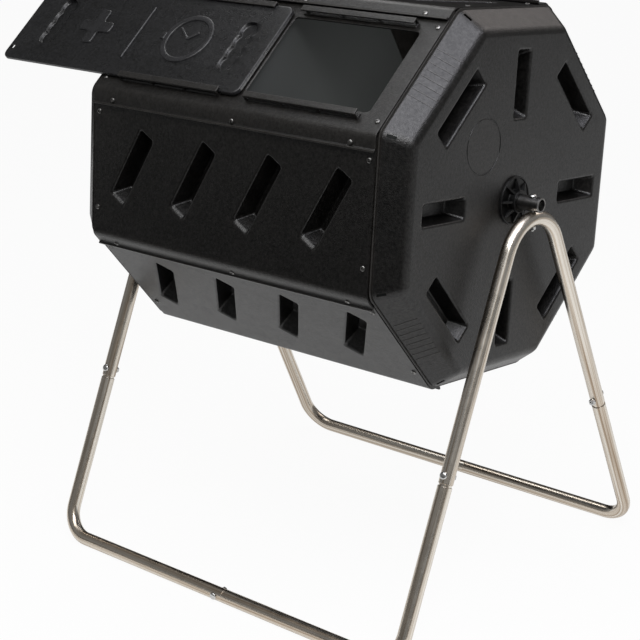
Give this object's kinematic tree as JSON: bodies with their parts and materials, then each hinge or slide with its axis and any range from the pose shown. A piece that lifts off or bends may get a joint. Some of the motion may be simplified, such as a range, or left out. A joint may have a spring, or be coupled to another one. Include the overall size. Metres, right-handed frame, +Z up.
{
  "type": "compost tumbler",
  "caption": "Octagonal black plastic compost drum with two chambers and a sliding door, turning on a tube axle in a bolted steel tube stand.",
  "frame": {"origin": "on the ground under the middle of the axle, midway between the two legs and the two ground rails", "axes": "+X along the axle, -Y towards the door side, +Z up"},
  "size_m": [0.8855, 0.6674, 0.9196],
  "materials": {
    "drum_plastic": "satin black moulded polypropylene",
    "door_plastic": "satin black moulded polypropylene, fine grain",
    "hub_plastic": "black moulded nylon",
    "divider_plastic": "dark grey moulded polypropylene",
    "stand_tube": "galvanised steel tube",
    "fastener_steel": "zinc plated steel"
  },
  "bodies": {
    "stand": {"axle_tube": "stand_tube", "upper_leg_right": "stand_tube", "upper_leg_left": "stand_tube", "lower_leg_front_right": "stand_tube", "lower_leg_front_left": "stand_tube", "lower_leg_rear_right": "stand_tube", "lower_leg_rear_left": "stand_tube", "axle_bolts": "fastener_steel", "axle_nuts": "fastener_steel", "stand_bolts": "fastener_steel", "stand_nuts": "fastener_steel"},
    "drum": {"door_panel": "drum_plastic", "rear_panel": "drum_plastic", "upper_rear_panel": "drum_plastic", "top_panel": "drum_plastic", "front_panel": "drum_plastic", "lower_front_panel": "drum_plastic", "bottom_panel": "drum_plastic", "lower_rear_panel": "drum_plastic", "end_cap_right": "drum_plastic", "end_cap_left": "drum_plastic", "hub_bushing_right": "hub_plastic", "hub_bushing_left": "hub_plastic", "divider_wall": "divider_plastic", "end_screws_right": "fastener_steel", "end_screws_left": "fastener_steel", "lap_screws": "fastener_steel"},
    "door": {"sliding_door": "door_plastic"}
  },
  "joints": [
    {"name": "drum_turn", "type": "hinge", "parent": "stand", "child": "drum", "pos_m": [0, 0, 0.633], "axis": [1, 0, 0], "range_deg": [-169, 87]},
    {"name": "door_slide", "type": "slide", "parent": "drum", "child": "door", "axis": [1, 0, 0], "range_m": [0, 0.504]}
  ]
}
